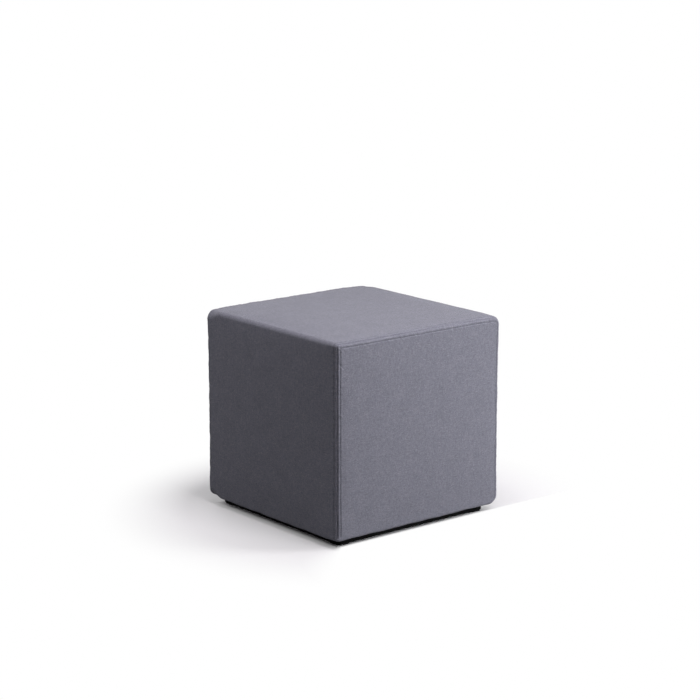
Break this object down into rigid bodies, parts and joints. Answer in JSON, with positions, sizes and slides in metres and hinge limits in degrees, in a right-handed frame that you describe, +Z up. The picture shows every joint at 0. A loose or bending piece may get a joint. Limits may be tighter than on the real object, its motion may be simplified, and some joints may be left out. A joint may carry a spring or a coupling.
{
  "type": "cube pouf stool",
  "caption": "Firm upholstered cube pouf in blue-grey heather cloth, with topstitched end panels, on a black base board with low glides.",
  "frame": {"origin": "on the floor under the middle of the cube", "axes": "+Z up, the front panel faces -Y, and the cloth band runs over the cube along X"},
  "size_m": [0.454, 0.4544, 0.4385],
  "materials": {
    "heather_cloth": "plain-woven blue-grey heather upholstery cloth, matte, with matching thread",
    "black_board": "board painted matte black",
    "black_plastic": "black moulded plastic with a low sheen"
  },
  "bodies": {
    "root": {"cover_band": "heather_cloth", "front_panel": "heather_cloth", "back_panel": "heather_cloth", "base_board": "black_board", "glide_front_left": "black_plastic", "glide_front_right": "black_plastic", "glide_back_left": "black_plastic", "glide_back_right": "black_plastic"}
  },
  "joints": []
}
